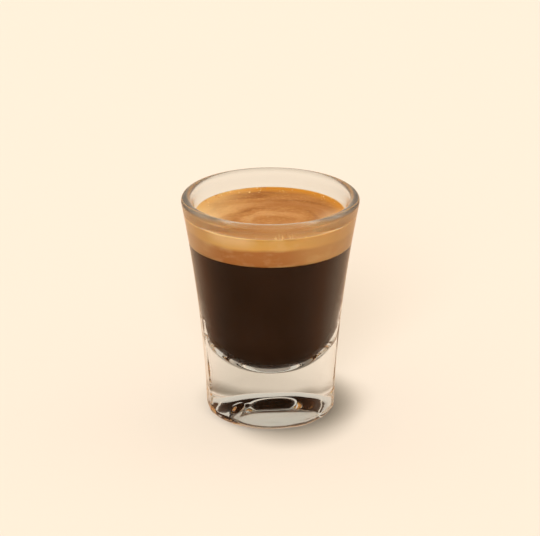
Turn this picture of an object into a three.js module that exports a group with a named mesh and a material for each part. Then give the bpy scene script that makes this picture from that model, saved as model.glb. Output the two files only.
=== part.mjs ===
// An espresso in a small heavy-based shot glass: the pressed glass, the black coffee and the crema.
// Millimetres, +Z up. The origin is the centre of the foot, on the surface that the glass stands on.

import * as THREE from "three";

// The glass.
const HEIGHT = 66.8;
const LIP_RADIUS = 26; // the widest ring of the rounded lip
const LIP_ROUND = 1.35; // half the thickness of the lip, which is fully rounded
const NECK_DROP = 4.4; // from the top of the lip down to where its bead runs out into the wall
const NECK_RADIUS = 25.45;
const FOOT_RADIUS = 18.5; // the outer wall, carried down to the table
const FOOT_LEAN = 0.04; // outward lean of the outer wall at the table, in mm for each mm of height
const HEEL_ROUND = 3; // the rounded outer edge of the foot
const WALL_AT_NECK = 3.4;
const WALL_AT_FOOT = 8.5; // the wall thickness, carried down to the table
const BOWL_FLOOR = 15; // the lowest point inside
const BOWL_FLOOR_ROUND = 20; // the floor of the bowl is dished
const BOWL_CORNER_ROUND = 13; // between the dished floor and the wall
const PUNT_DEPTH = 8; // the domed hollow pressed up into the underside of the foot
const PUNT_ROUND = 15;
const PUNT_EDGE_ROUND = 2.2; // between the dome and the ring that the glass stands on

// What is in it.
const CREMA_TOP = 61.35;
const CREMA_BOTTOM = 52.5;
const MENISCUS_RISE = 0.4; // the crema clings to the wall and climbs it a little
const MENISCUS_WIDTH = 1.8;
const CLEARANCE = 0.3; // kept between two solids that touch in the real drink

const SEGMENTS = 64;
const QUARTER_TURN = Math.PI / 2;

const NECK_HEIGHT = HEIGHT - NECK_DROP;
const WALL_FLARE = (NECK_RADIUS - FOOT_RADIUS - FOOT_LEAN * NECK_HEIGHT) / NECK_HEIGHT ** 2;

// Radius of the outer wall at a height: nearly upright at the foot, leaning out more towards the lip.
function outerWall(z) {
  return FOOT_RADIUS + FOOT_LEAN * z + WALL_FLARE * z ** 2;
}

// Radius of the inner wall at a height. The wall thins towards the lip.
function innerWall(z) {
  return outerWall(z) - THREE.MathUtils.lerp(WALL_AT_FOOT, WALL_AT_NECK, z / NECK_HEIGHT);
}

// Points along an arc, as radius and height. Angle 0 points outwards and a quarter turn points up.
function arc(centre, round, from, to, steps) {
  return Array.from({ length: steps + 1 }, (_, i) => {
    const angle = THREE.MathUtils.lerp(from, to, i / steps);
    return new THREE.Vector2(
      centre.x + round * Math.cos(angle),
      centre.y + round * Math.sin(angle),
    );
  });
}

// Points along a wall between two heights.
function wallPoints(radiusAt, from, to, steps) {
  return Array.from({ length: steps + 1 }, (_, i) => {
    const z = THREE.MathUtils.lerp(from, to, i / steps);
    return new THREE.Vector2(radiusAt(z), z);
  });
}

// The inside of the bowl from the middle of its floor up to a height: the dished floor, the rounded
// corner and the wall, all set in by a clearance, and only the part above a lowest height.
function bowlPoints(clearance, top, wallSteps) {
  const floorRound = BOWL_FLOOR_ROUND - clearance;
  const cornerRound = BOWL_CORNER_ROUND - clearance;
  const floorCentre = new THREE.Vector2(0, BOWL_FLOOR + BOWL_FLOOR_ROUND);
  const reach = BOWL_FLOOR_ROUND - BOWL_CORNER_ROUND;
  // The corner's centre lies its own round inside the wall, and as far from the floor's centre as
  // makes the two arcs run into each other. A few passes settle its height.
  const cornerCentre = new THREE.Vector2(0, BOWL_FLOOR + BOWL_CORNER_ROUND);
  for (let pass = 0; pass < 20; pass++) {
    cornerCentre.x = innerWall(cornerCentre.y) - BOWL_CORNER_ROUND;
    cornerCentre.y = floorCentre.y - Math.sqrt(reach ** 2 - cornerCentre.x ** 2);
  }
  const join = Math.atan2(cornerCentre.y - floorCentre.y, cornerCentre.x);
  return [
    ...arc(floorCentre, floorRound, -QUARTER_TURN, join, 6),
    ...arc(cornerCentre, cornerRound, join, 0, 7).slice(1),
    ...wallPoints((z) => innerWall(z) - clearance, cornerCentre.y, top, wallSteps).slice(1),
  ];
}

// Turns an outline of radius and height, which starts and ends on the upright axis, round that axis.
function turned(outline) {
  outline.at(0).x = 0;
  outline.at(-1).x = 0;
  return new THREE.LatheGeometry(outline, SEGMENTS).rotateX(QUARTER_TURN);
}

// The underside of the foot from its middle out to the standing ring: the dome of the punt and the
// rounded edge that it runs out into.
function puntPoints() {
  const domeCentre = new THREE.Vector2(0, PUNT_DEPTH - PUNT_ROUND);
  const fall = PUNT_EDGE_ROUND - domeCentre.y;
  const edgeCentre = new THREE.Vector2(
    Math.sqrt((PUNT_ROUND + PUNT_EDGE_ROUND) ** 2 - fall ** 2),
    PUNT_EDGE_ROUND,
  );
  const join = Math.atan2(fall, edgeCentre.x);
  return [
    ...arc(domeCentre, PUNT_ROUND, QUARTER_TURN, join, 7),
    ...arc(edgeCentre, PUNT_EDGE_ROUND, join - Math.PI, -QUARTER_TURN, 4).slice(1),
  ];
}

// The glass, from the middle of its underside out over the foot, up the outer wall, over the lip and
// down the inside to the middle of the bowl's floor.
function glassGeometry() {
  const heelCentre = new THREE.Vector2(outerWall(HEEL_ROUND) - HEEL_ROUND, HEEL_ROUND);
  const lipCentre = new THREE.Vector2(LIP_RADIUS - LIP_ROUND, HEIGHT - LIP_ROUND);
  const lipFrom = -Math.PI / 6;
  const lipTo = Math.PI * 1.06;
  return turned([
    ...puntPoints(),
    ...arc(heelCentre, HEEL_ROUND, -QUARTER_TURN, 0, 6),
    ...wallPoints(outerWall, HEEL_ROUND, NECK_HEIGHT, 9).slice(1),
    ...arc(lipCentre, LIP_ROUND, lipFrom, lipTo, 10),
    ...bowlPoints(0, NECK_HEIGHT, 7).reverse(),
  ]);
}

// The coffee fills the bowl up to the underside of the crema.
function coffeeGeometry() {
  const top = CREMA_BOTTOM - CLEARANCE;
  return turned([...bowlPoints(CLEARANCE, top, 5), new THREE.Vector2(0, top)]);
}

// The crema is a thick disc on the coffee, level on top but for the edge that climbs the wall.
function cremaGeometry() {
  const edge = (z) => innerWall(z) - CLEARANCE;
  const top = CREMA_TOP + MENISCUS_RISE;
  const climb = [0, 0.25, 0.5, 0.75, 1].map(
    (share) =>
      new THREE.Vector2(
        edge(top) - MENISCUS_WIDTH * share,
        CREMA_TOP + MENISCUS_RISE * (1 - share) ** 2,
      ),
  );
  return turned([
    new THREE.Vector2(0, CREMA_BOTTOM),
    ...wallPoints(edge, CREMA_BOTTOM, top, 4),
    ...climb.slice(1),
    new THREE.Vector2(0, CREMA_TOP),
  ]);
}

function piece(name, geometry, material) {
  const mesh = new THREE.Mesh(geometry, new THREE.MeshStandardMaterial(material));
  mesh.name = name;
  return mesh;
}

const espresso = new THREE.Group();
espresso.add(
  piece("glass", glassGeometry(), {
    color: "#eef1ee",
    roughness: 0.03,
    metalness: 0,
    transparent: true,
    opacity: 0.35,
  }),
  piece("coffee", coffeeGeometry(), { color: "#2b180e", roughness: 0.1, metalness: 0 }),
  piece("crema", cremaGeometry(), { color: "#c88a4b", roughness: 0.55, metalness: 0 }),
);

export default espresso;
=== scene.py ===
# An espresso with a thick crema in a small heavy-based shot glass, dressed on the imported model.
import math

import bmesh
import bpy
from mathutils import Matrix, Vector, noise


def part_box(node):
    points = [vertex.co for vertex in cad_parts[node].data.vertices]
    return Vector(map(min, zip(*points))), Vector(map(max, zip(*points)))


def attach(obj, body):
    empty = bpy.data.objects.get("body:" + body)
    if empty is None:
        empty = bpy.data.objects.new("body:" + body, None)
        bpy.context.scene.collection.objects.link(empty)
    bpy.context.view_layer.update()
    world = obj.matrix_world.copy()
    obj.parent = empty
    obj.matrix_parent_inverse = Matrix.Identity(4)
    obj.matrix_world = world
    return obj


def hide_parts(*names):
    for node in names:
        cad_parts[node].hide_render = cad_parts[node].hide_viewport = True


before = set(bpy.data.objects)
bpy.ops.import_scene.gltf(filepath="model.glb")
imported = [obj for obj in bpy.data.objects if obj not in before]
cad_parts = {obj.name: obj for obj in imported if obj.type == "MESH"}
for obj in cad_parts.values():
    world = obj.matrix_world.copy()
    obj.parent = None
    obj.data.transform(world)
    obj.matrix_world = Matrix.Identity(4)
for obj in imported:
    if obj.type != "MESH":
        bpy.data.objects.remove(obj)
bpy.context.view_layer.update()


# The glass: one piece of clear glass, pressed in a mould and then fire-polished. The wall flares to a
# rounded lip, and the base is solid but for a domed hollow pressed up into its underside. The skin
# waves a little, most of all low down, and stands proud where the mould parted.
MM = 0.001
QUARTER_TURN = math.pi / 2
STEPS_ROUND = 256
DOME_STEPS = 36
PUNT_EDGE_STEPS = 10
HEEL_STEPS = 20
OUTER_WALL_STEPS = 56
LIP_STEPS = 36
EASE_STEPS = 16
BOWL_FLOOR_STEPS = 30
BOWL_CORNER_STEPS = 30
BOWL_WALL_STEPS = 44

glass_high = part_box("glass")[1]
coffee_low, coffee_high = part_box("coffee")
CLEARANCE = 0.3 * MM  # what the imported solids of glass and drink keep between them
HEIGHT = glass_high.z
LIP_RADIUS = glass_high.x
LIP_ROUND = 1.35 * MM
LIP_STARTS = -0.19  # where the outer wall runs into the round of the lip, in radians
LIP_ENDS = math.pi + 0.3  # where the round runs out into the slope down to the inner wall
EASE_TO = 61.9 * MM  # where that slope has become the inner wall
EASE_PULL = 0.9 * MM  # how far the slope keeps its direction at either end
NECK_DROP = 4.4 * MM
NECK_HEIGHT = HEIGHT - NECK_DROP
NECK_RADIUS = 25.45 * MM
FOOT_RADIUS = 18.5 * MM
FOOT_LEAN = 0.04
HEEL_ROUND = 3 * MM
WALL_AT_NECK = 3.4 * MM
WALL_AT_FOOT = 8.5 * MM
WALL_FLARE = (NECK_RADIUS - FOOT_RADIUS - FOOT_LEAN * NECK_HEIGHT) / NECK_HEIGHT**2
BOWL_FLOOR = coffee_low.z - CLEARANCE
BOWL_FLOOR_ROUND = 20 * MM
BOWL_CORNER_ROUND = 13 * MM
SETTLING_PASSES = 20
PUNT_DEPTH = 8 * MM
PUNT_ROUND = 15 * MM
PUNT_EDGE_ROUND = 2.2 * MM
PUNT_OFFSET = 1.3 * MM  # the top of the dome sits a little to one side

WAVE_ON_WALL = 0.05 * MM
WAVE_ON_HEEL = 0.4 * MM
WAVE_FADES_AT = 24 * MM
WAVES_ROUND = 2.2  # the larger, the more waves there are round the wall
WAVE_RISE = 10 * MM
SEAM_TURNS = (math.pi + 0.36, -0.17)  # where the mould parted, in radians from straight right
SEAM_PROUD = 0.22 * MM
SEAM_WIDTH = 1.1 * MM
SEAM_FADES_FROM = 20 * MM
SEAM_FADES_AT = 34 * MM
MARK_PLACE = Vector((-8.2 * MM, -6.2 * MM))  # a round mark that the mould left in the hollow
MARK_RADIUS = 1.4 * MM
MARK_WIDTH = 0.7 * MM
MARK_DEPTH = 0.25 * MM
FOOT_WAVE = 0.2 * MM  # the underside isn't quite flat either
FOOT_WAVE_LENGTH = 3 * MM
FOOT_WAVE_ENDS = 4 * MM

GLASS_BENDS = 1.5
LIP_HAZE = 0.2
HAZE_FROM = NECK_HEIGHT - 1 * MM
HAZE_FULL = NECK_HEIGHT + 2 * MM
LINES_SCALE = 160
LINES_STRENGTH = 0.1
LINES_DEPTH = 0.01 * MM
LIP_TINT = (0.925, 0.925, 0.91, 1)
FOOT_TINT_AND_SHADE = (0.88, 0.885, 0.875, 1)


def outer_wall(height):
    """Radius of the outer wall: nearly upright at the foot, leaning out more towards the lip."""
    return FOOT_RADIUS + FOOT_LEAN * height + WALL_FLARE * height**2


def inner_wall(height):
    """Radius of the inner wall. The wall thins towards the lip."""
    return outer_wall(height) - WALL_AT_FOOT + (WALL_AT_FOOT - WALL_AT_NECK) * height / NECK_HEIGHT


def arc(centre, round, start, end, steps):
    """Points along an arc, as radius and height. Angle 0 points outwards, a quarter turn up."""
    turns = [start + (end - start) * step / steps for step in range(steps + 1)]
    return [(centre[0] + round * math.cos(turn), centre[1] + round * math.sin(turn)) for turn in turns]


def wall(radius_at, start, end, steps):
    """Points up or down a wall."""
    heights = [start + (end - start) * step / steps for step in range(steps + 1)]
    return [(radius_at(height), height) for height in heights]


def bowl(reach, top):
    """The inside of the bowl from the middle of its floor up to a height, all let out by a reach."""
    floor_centre = (0, BOWL_FLOOR + BOWL_FLOOR_ROUND)
    between = BOWL_FLOOR_ROUND - BOWL_CORNER_ROUND
    corner_height = BOWL_FLOOR + BOWL_CORNER_ROUND
    for _ in range(SETTLING_PASSES):
        corner_radius = inner_wall(corner_height) - BOWL_CORNER_ROUND
        corner_height = floor_centre[1] - math.sqrt(between**2 - corner_radius**2)
    corner_centre = (corner_radius, corner_height)
    join = math.atan2(corner_height - floor_centre[1], corner_radius)
    return [
        *arc(floor_centre, BOWL_FLOOR_ROUND + reach, -QUARTER_TURN, join, BOWL_FLOOR_STEPS),
        *arc(corner_centre, BOWL_CORNER_ROUND + reach, join, 0, BOWL_CORNER_STEPS)[1:],
        *wall(lambda height: inner_wall(height) + reach, corner_height, top, BOWL_WALL_STEPS)[1:],
    ]


def turned(name, outline, swell=None):
    """A closed mesh: the outline turned round the upright axis, with an optional push outwards.

    The outline starts and ends on the axis, where its rings shrink to one point.
    """
    shape = bmesh.new()
    rings = []
    for step, (radius, height) in enumerate(outline):
        if step in (0, len(outline) - 1):
            rings.append([shape.verts.new((0, 0, height))] * STEPS_ROUND)
            continue
        ring = []
        for place in range(STEPS_ROUND):
            turn = 2 * math.pi * place / STEPS_ROUND
            out = radius + (swell(turn, radius, height) if swell else 0)
            ring.append(shape.verts.new((out * math.cos(turn), out * math.sin(turn), height)))
        rings.append(ring)
    for lower, upper in zip(rings, rings[1:]):
        for place in range(STEPS_ROUND):
            after = (place + 1) % STEPS_ROUND
            corners = [lower[place], lower[after], upper[after], upper[place]]
            shape.faces.new(dict.fromkeys(corners))
    mesh = bpy.data.meshes.new(name)
    shape.to_mesh(mesh)
    shape.free()
    mesh.shade_smooth()
    piece = bpy.data.objects.new(name, mesh)
    bpy.context.scene.collection.objects.link(piece)
    return piece


dome_centre = (0, PUNT_DEPTH - PUNT_ROUND)
dome_fall = PUNT_EDGE_ROUND - dome_centre[1]
punt_edge_centre = (math.sqrt((PUNT_ROUND + PUNT_EDGE_ROUND) ** 2 - dome_fall**2), PUNT_EDGE_ROUND)
dome_join = math.atan2(dome_fall, punt_edge_centre[0])
heel_centre = (outer_wall(HEEL_ROUND) - HEEL_ROUND, HEEL_ROUND)
lip_centre = (LIP_RADIUS - LIP_ROUND, HEIGHT - LIP_ROUND)
lip_over = arc(lip_centre, LIP_ROUND, LIP_STARTS, LIP_ENDS, LIP_STEPS)
lip_lean = LIP_ENDS - math.pi
ease_guides = [
    lip_over[-1],
    (lip_over[-1][0] - EASE_PULL * math.sin(lip_lean), lip_over[-1][1] - EASE_PULL * math.cos(lip_lean)),
    (inner_wall(EASE_TO + EASE_PULL), EASE_TO + EASE_PULL),
    (inner_wall(EASE_TO), EASE_TO),
]
lip_ease = []
for share in [step / EASE_STEPS for step in range(1, EASE_STEPS)]:
    weights = ((1 - share) ** 3, 3 * share * (1 - share) ** 2, 3 * share**2 * (1 - share), share**3)
    radius = sum(weight * guide[0] for weight, guide in zip(weights, ease_guides))
    level = sum(weight * guide[1] for weight, guide in zip(weights, ease_guides))
    lip_ease.append((radius, level))
glass_outline = [
    *arc(dome_centre, PUNT_ROUND, QUARTER_TURN, dome_join, DOME_STEPS),
    *arc(punt_edge_centre, PUNT_EDGE_ROUND, dome_join - math.pi, -QUARTER_TURN, PUNT_EDGE_STEPS)[1:],
    *arc(heel_centre, HEEL_ROUND, -QUARTER_TURN, 0, HEEL_STEPS),
    *wall(outer_wall, HEEL_ROUND, NECK_HEIGHT, OUTER_WALL_STEPS)[1:],
    *lip_over,
    *lip_ease,
    *bowl(0, EASE_TO)[::-1],
]


def clamped(value):
    """The value, kept from 0 to 1."""
    return min(max(value, 0), 1)


def glass_wave(turn, radius, height):
    """How far the outer skin stands out: slow waves round the wall, deeper towards the heel."""
    outside = clamped((radius - outer_wall(height) + HEEL_ROUND) / HEEL_ROUND)
    if outside == 0 or height > NECK_HEIGHT:
        return 0
    low = max(1 - height / WAVE_FADES_AT, 0)
    high = min((NECK_HEIGHT - height) / WAVE_FADES_AT, 1)
    depth = WAVE_ON_WALL * high + WAVE_ON_HEEL * low**2
    place = Vector((WAVES_ROUND * math.cos(turn), WAVES_ROUND * math.sin(turn), height / WAVE_RISE))
    seam = 0
    for seam_turn in SEAM_TURNS:
        gap = radius * math.sin((turn - seam_turn) / 2) * 2
        seam += SEAM_PROUD * math.exp(-((gap / SEAM_WIDTH) ** 2))
    seam_left = clamped((SEAM_FADES_AT - height) / (SEAM_FADES_AT - SEAM_FADES_FROM))
    return outside * (depth * noise.noise(place) + seam * seam_left)


glass = turned("pressed_glass", glass_outline, glass_wave)
for corner in glass.data.vertices[: DOME_STEPS * STEPS_ROUND]:
    from_mark = ((corner.co.xy - MARK_PLACE).length - MARK_RADIUS) / MARK_WIDTH
    corner.co.z += MARK_DEPTH * math.exp(-(from_mark**2))
    corner.co.x += PUNT_OFFSET * corner.co.z / PUNT_DEPTH
for corner in glass.data.vertices:
    low = max(1 - corner.co.z / FOOT_WAVE_ENDS, 0)
    place = Vector((corner.co.x, corner.co.y, 0)) / FOOT_WAVE_LENGTH
    corner.co.z += FOOT_WAVE * low * (0.5 + 0.5 * noise.noise(place))


class Value:
    """One output of a node in a tree. Sums and products of outputs add their Math nodes to it."""

    def __init__(self, tree, socket=None):
        self.tree = tree
        self.socket = socket

    def node(self, kind, settings, sockets, output=0):
        """Adds a node: its settings first, a ramp's stops among them, then its sockets."""
        made = self.tree.nodes.new(kind)
        for name, setting in settings.items():
            if name == "stops":
                points = made.color_ramp.elements
                while len(points) < len(setting):
                    points.new(1)
                for point, (place, colour) in zip(points, setting):
                    point.position = place
                    point.color = (*colour, 1)
            else:
                setattr(made, name, setting)
        for name, value in sockets.items():
            if isinstance(value, Value):
                value.into(made.inputs[name])
            else:
                made.inputs[name].default_value = value
        return Value(self.tree, made.outputs[output])

    def into(self, socket):
        """Leads this value into a socket of a node in the same tree."""
        self.tree.links.new(self.socket, socket)

    def maths(self, operation, *values):
        """Adds a Math node that works on the values."""
        return self.node("ShaderNodeMath", {"operation": operation}, dict(enumerate(values)))

    def __add__(self, other):
        return self.maths("ADD", self, other)

    def __sub__(self, other):
        return self.maths("SUBTRACT", self, other)

    def __rsub__(self, other):
        return self.maths("SUBTRACT", other, self)

    def __mul__(self, other):
        return self.maths("MULTIPLY", self, other)

    def __rmul__(self, other):
        return self.maths("MULTIPLY", other, self)

    def __truediv__(self, other):
        return self.maths("DIVIDE", self, other)

    def __pow__(self, other):
        return self.maths("POWER", self, other)

    def between(self, low, high):
        """0 up to the low value, 1 from the high one, and a smooth rise from one to the other."""
        limits = {"Value": self, "From Min": low, "From Max": high}
        return self.node("ShaderNodeMapRange", {"interpolation_type": "SMOOTHSTEP"}, limits)

    def mix(self, first, second):
        """The first colour where this value is 0 and the second where it is 1."""
        return self.node("ShaderNodeMix", {"data_type": "RGBA"}, {0: self, 6: first, 7: second}, 2)


def shader(name, piece, sockets):
    """Puts a material of one Principled shader on a piece. Gives that shader and a value to build on."""
    material = bpy.data.materials.new(name)
    material.use_nodes = True
    piece.data.materials.append(material)
    principled = material.node_tree.nodes["Principled BSDF"]
    for socket, value in sockets.items():
        principled.inputs[socket].default_value = value
    return principled, Value(material.node_tree)


glass_shader, start = shader(
    "clear_glass",
    glass,
    {
        "Roughness": 0,
        "IOR": GLASS_BENDS,
        "Transmission Weight": 1,
    },
)
here = start.node("ShaderNodeTexCoord", {}, {}, "Object")
draw_lines = start.node("ShaderNodeTexNoise", {}, {"Vector": here, "Scale": LINES_SCALE, "Detail": 1})
draw_bump = start.node(
    "ShaderNodeBump",
    {},
    {"Height": draw_lines, "Strength": LINES_STRENGTH, "Distance": LINES_DEPTH},
)
level = start.node("ShaderNodeSeparateXYZ", {}, {"Vector": here}, "Z")
haze = level.between(HAZE_FROM, HAZE_FULL) * LIP_HAZE
# Towards the foot the glass is tinted darker: partly the tint of thicker glass, partly painted shade for
# the shadowed floor seen through the foot.
thick_and_shaded = 1 - level.between(BOWL_FLOOR, NECK_HEIGHT)
thick_and_shaded.mix(LIP_TINT, FOOT_TINT_AND_SHADE).into(glass_shader.inputs["Base Color"])
draw_bump.into(glass_shader.inputs["Normal"])
haze.into(glass_shader.inputs["Roughness"])

# The glass casts no shadow here. The floor's shade stands in for it.
glass.visible_shadow = False

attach(glass, "root")
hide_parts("glass")


# The coffee: a black espresso that fills the bowl up to the foam. It wets the glass, so it is let a
# hair's breadth into the wall. Light that meets the wall at a slant can't leave the denser glass for
# the coffee, so a bright mirror band runs round the bottom of the bowl.
WETTED = 0.02 * MM
COFFEE_TOP = coffee_high.z + CLEARANCE
COFFEE_BENDS = 1.33
CLOUD_SCALE = 70
COFFEE_DARK = (0.021, 0.0062, 0.0014, 1)
COFFEE_LIGHT = (0.026, 0.0090, 0.0034, 1)
MIRROR_WHITE = (1, 1, 1, 1)

coffee_outline = bowl(WETTED, COFFEE_TOP)
coffee = turned("black_coffee", [*coffee_outline, (0, COFFEE_TOP)])
coffee_shader, start = shader(
    "black_coffee",
    coffee,
    {
        "Roughness": 0.6,
        "Specular IOR Level": 0,
    },
)
here = start.node("ShaderNodeTexCoord", {}, {}, "Object")
cloud = start.node("ShaderNodeTexNoise", {}, {"Vector": here, "Scale": CLOUD_SCALE, "Detail": 2})
cloud.between(0.35, 0.7).mix(COFFEE_DARK, COFFEE_LIGHT).into(coffee_shader.inputs["Base Color"])
mirror = start.node("ShaderNodeBsdfGlossy", {}, {"Color": MIRROR_WHITE, "Roughness": 0})
slant = start.node("ShaderNodeFresnel", {}, {"IOR": COFFEE_BENDS / GLASS_BENDS})
body = Value(start.tree, coffee_shader.outputs[0])
wetted_wall = start.node("ShaderNodeMixShader", {}, {0: slant, 1: body, 2: mirror})
wetted_wall.into(start.tree.nodes["Material Output"].inputs["Surface"])

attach(coffee, "root")
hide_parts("coffee")


# The crema: a thick fine foam on the coffee, nearly level, whose edge clings to the wall and climbs
# it a little. The pour left it in slow rings of tan and brown, with an orange ring at the wall.
crema_low, crema_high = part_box("crema")
MENISCUS_RISE = 0.4 * MM
MENISCUS_WIDTH = 1.8 * MM
CREMA_BOTTOM = crema_low.z
CREMA_EDGE = crema_high.z
CREMA_TOP = CREMA_EDGE - MENISCUS_RISE
CREMA_RADIUS = inner_wall(CREMA_EDGE) + WETTED
CREMA_DEPTH = CREMA_EDGE - CREMA_BOTTOM
CREMA_LEAN = 0.112  # about how much narrower the foam gets down its side, as a share of the radius
CREMA_SIDE_STEPS = 24
CREMA_TOP_STEPS = 90
RIPPLE = 0.03 * MM
RIPPLE_STRETCH = 1.3 * MM

# Places on the foam are shares of its radius: east is right in the photo, and north is the far side.
POUR_SHIFT = 0.35  # how far to the front the pour landed
POUR_RING = 0.72  # how far from there the dark arc lies
POUR_DRIFT = 0.4
SWIRLS = 4.5
DRIFT_SCALE = 75
RING_DRIFT = 0.16
PATCH_LEFT = 0.5
PATCH_FORWARD = 0.85
FLECK_SCALE = 1100
FROTH_SCALE = 2600
FROTH_DEPTH = 0.05 * MM
STREAK_STOPS = [
    (0.37, (0.27, 0.090, 0.014)),
    (0.44, (0.37, 0.140, 0.027)),
    (0.53, (0.42, 0.170, 0.040)),
    (0.62, (0.51, 0.240, 0.076)),
]
# Down the side: the golden upper band in these stops is painted light, as if lit from above through the
# foam.
SIDE_STOPS_WITH_LIGHT = [
    (0.0, (0.50, 0.28, 0.094)),
    (0.08, (0.72, 0.405, 0.105)),
    (0.37, (0.78, 0.425, 0.113)),
    (0.48, (0.48, 0.182, 0.052)),
    (0.95, (0.46, 0.172, 0.046)),
    (1.0, (0.30, 0.10, 0.02)),
]
DARK_FLECK = (0.29, 0.098, 0.016, 1)
PALE_FLECK = (0.58, 0.31, 0.11, 1)
ARC_BROWN = (0.31, 0.106, 0.018, 1)
RING_IN_FRONT = (0.53, 0.26, 0.092, 1)
RING_BEHIND = (0.50, 0.195, 0.022, 1)
HIGHLIGHT_TAN = (0.70, 0.43, 0.17, 1)
FRONT_SIDE_LIGHT = (0.90, 0.64, 0.37, 1)
SIDE_CREAM = (0.84, 0.54, 0.24, 1)
RIGHT_LIGHT_TAN = (0.78, 0.44, 0.17, 1)
LEFT_LIGHT_TAN = (0.78, 0.48, 0.22, 1)
REFLECTION_CREAM = (0.88, 0.58, 0.28, 1)


def crema_level(radius):
    """Height of the foam's top: level, then rising to the wall."""
    climb = max(radius - CREMA_RADIUS + MENISCUS_WIDTH, 0) / MENISCUS_WIDTH
    ripple = RIPPLE * math.sin(radius / RIPPLE_STRETCH) * (1 - climb)
    return CREMA_TOP + MENISCUS_RISE * climb**2 + ripple


top_radii = [CREMA_RADIUS * (1 - step / CREMA_TOP_STEPS) for step in range(CREMA_TOP_STEPS + 1)]
crema = turned(
    "crema",
    [
        (0, CREMA_BOTTOM),
        *wall(lambda height: inner_wall(height) + WETTED, CREMA_BOTTOM, CREMA_EDGE, CREMA_SIDE_STEPS),
        *[(radius, crema_level(radius)) for radius in top_radii[1:]],
    ],
)
crema_shader, start = shader(
    "crema_foam",
    crema,
    {
        "Roughness": 0.5,
        "IOR": 1.35,
        "Specular IOR Level": 0.2,
        "Subsurface Weight": 0.5,
        "Subsurface Radius": (1, 0.6, 0.3),
        "Subsurface Scale": 1.2 * MM,
    },
)
here = start.node("ShaderNodeTexCoord", {}, {}, "Object")
across = start.node("ShaderNodeSeparateXYZ", {}, {"Vector": here}, "X")
along = start.node("ShaderNodeSeparateXYZ", {}, {"Vector": here}, "Y")
up = start.node("ShaderNodeSeparateXYZ", {}, {"Vector": here}, "Z")
east = across / CREMA_RADIUS
north = along / CREMA_RADIUS
from_middle = (east**2 + north**2) ** 0.5
drift = start.node("ShaderNodeTexNoise", {}, {"Vector": here, "Scale": DRIFT_SCALE, "Detail": 2})
ring = from_middle + RING_DRIFT * (drift - 0.5)
from_pour = ((east * 0.8) ** 2 + (north + POUR_SHIFT) ** 2) ** 0.5 + POUR_DRIFT * (drift - 0.5)

# The top: streaks drawn out round the place of the pour, then flecks, the dark arc, the ring at the
# wall, a painted soft highlight to the left and back, and painted light at both sides of the front.
swirl_place = start.node(
    "ShaderNodeCombineXYZ",
    {},
    {"X": from_pour * SWIRLS, "Y": east * 0.9, "Z": north * 0.8},
)
streaks = start.node(
    "ShaderNodeTexNoise",
    {},
    {"Vector": swirl_place, "Scale": 1, "Detail": 3, "Roughness": 0.5},
)
top_colour = start.node("ShaderNodeValToRGB", {"stops": STREAK_STOPS}, {"Fac": streaks})
flecks = start.node("ShaderNodeTexNoise", {}, {"Vector": here, "Scale": FLECK_SCALE, "Detail": 2})
top_colour = (flecks.between(0.5, 0.75) * 0.35).mix(top_colour, DARK_FLECK)
top_colour = ((1 - flecks.between(0.25, 0.5)) * 0.3).mix(top_colour, PALE_FLECK)
dark_arc = 1 - ((from_pour - POUR_RING) ** 2).between(0.0, 0.03)
top_colour = (dark_arc * east.between(-0.6, 0.1) * 0.6).mix(top_colour, ARC_BROWN)
wall_ring = (ring + 0.05 * streaks).between(0.84, 0.98)
ring_colour = north.between(-0.85, -0.1).mix(RING_IN_FRONT, RING_BEHIND)
top_colour = wall_ring.mix(top_colour, ring_colour)
# A painted soft highlight: the top is lighter towards the left and the back.
painted_highlight_left = (0.25 * north - east + 0.5 * (drift - 0.5)).between(0.3, 1.1)
top_colour = (painted_highlight_left * 0.7).mix(top_colour, HIGHLIGHT_TAN)
# Painted light: the top is lighter at both sides of the front.
painted_light_front_sides = (east**2).between(0.25, 0.85) * (1 - north.between(-0.5, 0.3)) * 0.85
top_colour = painted_light_front_sides.mix(top_colour, FRONT_SIDE_LIGHT)

# The side, seen through the wall: a golden band over a browner one, the golden band being painted
# light from above. Painted light makes it paler to the left and the right, and a painted reflection
# makes one pale patch near the top at the front left.
# A painted reflection: one pale patch near the top of the side, at the front left.
from_patch = ((east + PATCH_LEFT) ** 2 + (north + PATCH_FORWARD) ** 2) ** 0.5 + 0.35 * (drift - 0.5)
painted_reflection_patch = 1 - from_patch.between(0.12, 0.4)
depth = (CREMA_EDGE - up) / CREMA_DEPTH
side_colour = start.node(
    "ShaderNodeValToRGB",
    {"stops": SIDE_STOPS_WITH_LIGHT},
    {"Fac": depth + 0.25 * (drift - 0.5)},
)
side_place = start.node("ShaderNodeCombineXYZ", {}, {"X": east * 4, "Y": north * 4, "Z": depth * 3})
side_streaks = start.node("ShaderNodeTexNoise", {}, {"Vector": side_place, "Scale": 1, "Detail": 3})
side_colour = (side_streaks.between(0.45, 0.75) * 0.4).mix(side_colour, SIDE_CREAM)
# Painted light: the side is paler towards the left and the right.
painted_light_right = east.between(0.05, 0.75) * 0.7
side_colour = painted_light_right.mix(side_colour, RIGHT_LIGHT_TAN)
painted_light_left = (1 - east.between(-0.98, -0.55)) * 0.75
side_colour = painted_light_left.mix(side_colour, LEFT_LIGHT_TAN)
side_colour = (painted_reflection_patch * (1 - depth.between(0.1, 0.5)) * 0.8).mix(side_colour, REFLECTION_CREAM)
side = (from_middle + depth * CREMA_LEAN).between(0.985, 0.995)
bubbly = start.node("ShaderNodeTexVoronoi", {}, {"Vector": here, "Scale": FROTH_SCALE})
froth = start.node(
    "ShaderNodeBump",
    {},
    {"Height": bubbly, "Strength": 0.25, "Distance": FROTH_DEPTH},
)
side.mix(top_colour, side_colour).into(crema_shader.inputs["Base Color"])
froth.into(crema_shader.inputs["Normal"])

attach(crema, "root")
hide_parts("crema")


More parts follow.
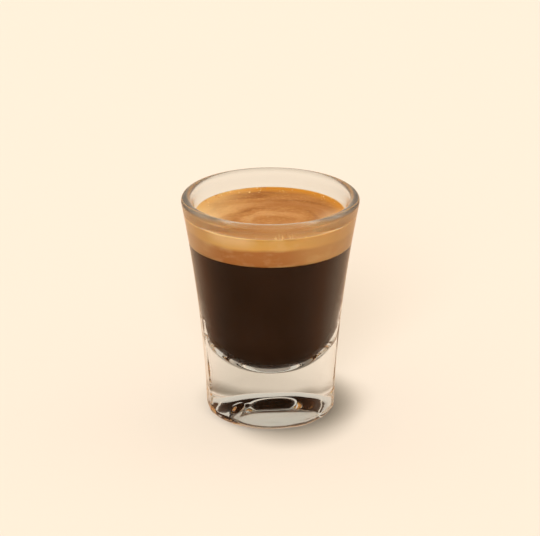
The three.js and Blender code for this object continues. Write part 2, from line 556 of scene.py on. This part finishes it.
# The bubbles: short strings of larger bubbles left where the foam meets the glass, thin skins of oily
# coffee that bulge out of the froth, with some a little further in.
BUBBLE_COUNT = 240
BUBBLES_IN_A_STRING = 6
STRING_REACH = 0.09  # how far a bubble sits from the middle of its string, in radians at most
SMALLEST_BUBBLE = 0.1 * MM
LARGEST_BUBBLE = 0.3 * MM
BUBBLE_REACH = 3.5 * MM
BUBBLE_SEED = 11
BUBBLE_SUBDIVISIONS = 3
SKIN_SCALE = 500
SKIN_BROWN = (0.50, 0.22, 0.06, 1)
SKIN_PALE = (0.86, 0.55, 0.24, 1)

bubbles = bpy.data.objects.new("crema_bubbles", bpy.data.meshes.new("crema_bubbles"))
bpy.context.scene.collection.objects.link(bubbles)
bubble_shader, start = shader(
    "crema_bubble",
    bubbles,
    {
        "Roughness": 0.22,
        "Subsurface Weight": 0.4,
        "Subsurface Radius": (1, 0.6, 0.3),
        "Subsurface Scale": 0.5 * MM,
    },
)
here = start.node("ShaderNodeTexCoord", {}, {}, "Object")
skin = start.node("ShaderNodeTexNoise", {}, {"Vector": here, "Scale": SKIN_SCALE})
skin.between(0.3, 0.7).mix(SKIN_BROWN, SKIN_PALE).into(bubble_shader.inputs["Base Color"])

bubble_nodes = bpy.data.node_groups.new("bubbles", "GeometryNodeTree")
bubble_inputs = {
    "Count": ("NodeSocketInt", BUBBLE_COUNT),
    "Seed": ("NodeSocketInt", BUBBLE_SEED),
    "Smallest": ("NodeSocketFloat", SMALLEST_BUBBLE),
    "Largest": ("NodeSocketFloat", LARGEST_BUBBLE),
    "Ring Radius": ("NodeSocketFloat", CREMA_RADIUS - WETTED),
    "Reach": ("NodeSocketFloat", BUBBLE_REACH),
    "Level": ("NodeSocketFloat", CREMA_TOP),
    "Climb": ("NodeSocketFloat", MENISCUS_RISE),
    "Climb Width": ("NodeSocketFloat", MENISCUS_WIDTH),
}
bubble_nodes.interface.new_socket("Geometry", in_out="INPUT", socket_type="NodeSocketGeometry")
bubble_nodes.interface.new_socket("Geometry", in_out="OUTPUT", socket_type="NodeSocketGeometry")
bubble_settings = {}
for name, (kind, value) in bubble_inputs.items():
    socket = bubble_nodes.interface.new_socket(name, in_out="INPUT", socket_type=kind)
    bubble_settings[socket.identifier] = value
tree = Value(bubble_nodes)
given_node = bubble_nodes.nodes.new("NodeGroupInput")
given = {name: Value(bubble_nodes, given_node.outputs[name]) for name in bubble_inputs}


def drawn(low, high, seed, **more):
    """A number for each bubble, drawn between two values."""
    return tree.node("FunctionNodeRandomValue", {}, {2: low, 3: high, **more, "Seed": seed}, 1)


seed = given["Seed"]
string = tree.maths("FLOOR", tree.node("GeometryNodeInputIndex", {}, {}) / BUBBLES_IN_A_STRING)
string_turn = drawn(0.0, 2 * math.pi, seed, ID=string)
bubble_turn = string_turn + drawn(-STRING_REACH, STRING_REACH, seed + 1)
chance = drawn(0.0, 1.0, seed + 2)
size = given["Smallest"] + (given["Largest"] - given["Smallest"]) * chance**3
inward = drawn(0.0, 1.0, seed + 3)
bubble_radius = given["Ring Radius"] - size - given["Reach"] * inward**4
share = (bubble_radius - given["Ring Radius"] + given["Climb Width"]) / given["Climb Width"]
climbed = tree.maths("MAXIMUM", share, 0.0) ** 2
bubble_level = given["Level"] + given["Climb"] * climbed
bubble_place = tree.node(
    "ShaderNodeCombineXYZ",
    {},
    {
        "X": bubble_radius * tree.maths("COSINE", bubble_turn),
        "Y": bubble_radius * tree.maths("SINE", bubble_turn),
        "Z": bubble_level,
    },
)
points = tree.node("GeometryNodePoints", {}, {"Count": given["Count"], "Position": bubble_place})
ball = tree.node("GeometryNodeMeshIcoSphere", {}, {"Radius": 1.0, "Subdivisions": BUBBLE_SUBDIVISIONS})
smooth_ball = tree.node("GeometryNodeSetShadeSmooth", {}, {"Geometry": ball})
placed = tree.node(
    "GeometryNodeInstanceOnPoints",
    {},
    {"Points": points, "Instance": smooth_ball, "Scale": size},
)
real = tree.node("GeometryNodeRealizeInstances", {}, {"Geometry": placed})
finished = tree.node(
    "GeometryNodeSetMaterial",
    {},
    {"Geometry": real, "Material": bubbles.data.materials[0]},
)
finished.into(bubble_nodes.nodes.new("NodeGroupOutput").inputs["Geometry"])

bubble_maker = bubbles.modifiers.new("bubbles", "NODES")
bubble_maker.node_group = bubble_nodes
for identifier, value in bubble_settings.items():
    bubble_maker[identifier] = value
grown = bubbles.evaluated_get(bpy.context.evaluated_depsgraph_get())
bubbles.data = bpy.data.meshes.new_from_object(grown)
bubbles.modifiers.clear()

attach(bubbles, "root")


# The floor: a plain pale surface, which doesn't show in reflections. The soft dark patch beside the
# foot is painted on, in place of the shadow that the glass is set not to cast.
FLOOR_REACH = 4
FLOOR_CORNERS = ((-1, -1), (1, -1), (1, 1), (-1, 1))
FLOOR_CREAM = (0.79, 0.705, 0.617, 1)
SHADE_BROWN = (0.29, 0.25, 0.20, 1)
SHADE_STRENGTH = 0.85
SHADE_ACROSS = 1.1  # above 1 squeezes the patch that way, and below 1 stretches it
SHADE_ALONG = 0.72
SHADE_TO_THE_RIGHT = 6.6 * MM  # the lengths from here to SHADE_ENDS are squeezed ones
SHADE_BACKWARDS = 1.2 * MM
SHADE_FULL = 12 * MM
SHADE_ENDS = 26 * MM
UNDER_THE_FOOT = 14 * MM  # under the glass the floor stays pale
PAST_THE_FOOT = 17 * MM

floor_mesh = bpy.data.meshes.new("floor")
floor_mesh.from_pydata(
    [(FLOOR_REACH * right, FLOOR_REACH * back, 0) for right, back in FLOOR_CORNERS],
    [],
    [(0, 1, 2, 3)],
)
floor = bpy.data.objects.new("floor", floor_mesh)
bpy.context.scene.collection.objects.link(floor)
floor.visible_glossy = False
floor_shader, start = shader("pale_floor", floor, {"Roughness": 1, "Specular IOR Level": 0})
here = start.node("ShaderNodeTexCoord", {}, {}, "Object")
across = start.node("ShaderNodeSeparateXYZ", {}, {"Vector": here}, "X")
along = start.node("ShaderNodeSeparateXYZ", {}, {"Vector": here}, "Y")
from_axis = (across**2 + along**2) ** 0.5
shade_across = across * SHADE_ACROSS - SHADE_TO_THE_RIGHT
shade_along = along * SHADE_ALONG - SHADE_BACKWARDS
from_shade = (shade_across**2 + shade_along**2) ** 0.5
shade = (1 - from_shade.between(SHADE_FULL, SHADE_ENDS)) * from_axis.between(UNDER_THE_FOOT, PAST_THE_FOOT)
(shade * SHADE_STRENGTH).mix(FLOOR_CREAM, SHADE_BROWN).into(floor_shader.inputs["Base Color"])


# The room and the lamps: a room bright behind and above and darker low in front, which the glass
# bends and mirrors. One lamp shines from nearly overhead and one from the front, and neither shows
# in a reflection or through glass.
LOW_ROOM = [
    (0.2, (0.28, 0.18, 0.10)),
    (0.375, (0.50, 0.31, 0.19)),
    (0.6, (1.10, 0.52, 0.27)),
    (0.8, (1.45, 0.96, 0.62)),
]
HIGH_ROOM = [
    (0, (1.10, 0.95, 0.72)),
    (0.45, (0.95, 0.82, 0.62)),
    (0.75, (1.30, 1.18, 1.0)),
]
ROOM_TURN = 0.25  # the brightest part of the room lies a little to the right
ROOM_STRENGTH = 0.58

world = bpy.data.worlds.new("studio")
world.use_nodes = True
bpy.context.scene.world = world
sky = Value(world.node_tree)
facing = sky.node("ShaderNodeTexCoord", {}, {}, "Generated")
back = sky.node("ShaderNodeSeparateXYZ", {}, {"Vector": facing}, "Y")
right = sky.node("ShaderNodeSeparateXYZ", {}, {"Vector": facing}, "X")
bearing = (back + ROOM_TURN * right) * 0.5 + 0.5
height = sky.node("ShaderNodeSeparateXYZ", {}, {"Vector": facing}, "Z")
low_room = sky.node("ShaderNodeValToRGB", {"stops": LOW_ROOM}, {"Fac": bearing})
high_room = sky.node("ShaderNodeValToRGB", {"stops": HIGH_ROOM}, {"Fac": bearing})
background = world.node_tree.nodes["Background"]
height.between(-0.02, 0.1).mix(low_room, high_room).into(background.inputs["Color"])
background.inputs["Strength"].default_value = ROOM_STRENGTH


def far_lamp(name, direction, spread, energy):
    """A lamp as far off as the sun, which shows neither in a reflection nor through glass."""
    light = bpy.data.lights.new(name, "SUN")
    light.angle = math.radians(spread)
    light.energy = energy
    lamp = bpy.data.objects.new(name, light)
    lamp.rotation_euler = Vector(direction).to_track_quat("Z", "Y").to_euler()
    lamp.visible_glossy = False
    lamp.visible_transmission = False
    bpy.context.scene.collection.objects.link(lamp)


far_lamp("soft_lamp", (-0.07, -0.13, 1), spread=12, energy=1.28)
far_lamp("front_fill", (-0.12, -1, 0.55), spread=30, energy=1.9)


# The camera: a long lens 1.3 m away that looks down on the lip at 21 degrees, as fitted to the
# outline of the glass in the photo. Light may bend often enough to get through the thick foot.
CAMERA_DISTANCE = 1.3
CAMERA_RISE = math.radians(21)
CAMERA_LEVEL = 0.0334
AIM = Vector((-0.0001, 0, 0.0443))
SENSOR_WIDTH = 36
LENS = 295.4
FARTHEST = 100
LIGHT_BOUNCES = 24
MIRROR_BOUNCES = 12

camera_data = bpy.data.cameras.new("camera")
camera_data.sensor_width = SENSOR_WIDTH
camera_data.lens = LENS
camera_data.clip_end = FARTHEST
camera = bpy.data.objects.new("camera", camera_data)
camera.location = (
    AIM.x,
    -CAMERA_DISTANCE * math.cos(CAMERA_RISE),
    CAMERA_LEVEL + CAMERA_DISTANCE * math.sin(CAMERA_RISE),
)
camera.rotation_euler = (AIM - camera.location).to_track_quat("-Z", "Y").to_euler()
bpy.context.scene.collection.objects.link(camera)
bpy.context.scene.camera = camera

scene = bpy.context.scene
scene.view_settings.view_transform = "Standard"
scene.cycles.max_bounces = LIGHT_BOUNCES
scene.cycles.transmission_bounces = LIGHT_BOUNCES
scene.cycles.glossy_bounces = MIRROR_BOUNCES
scene.cycles.caustics_refractive = True
scene.cycles.caustics_reflective = True
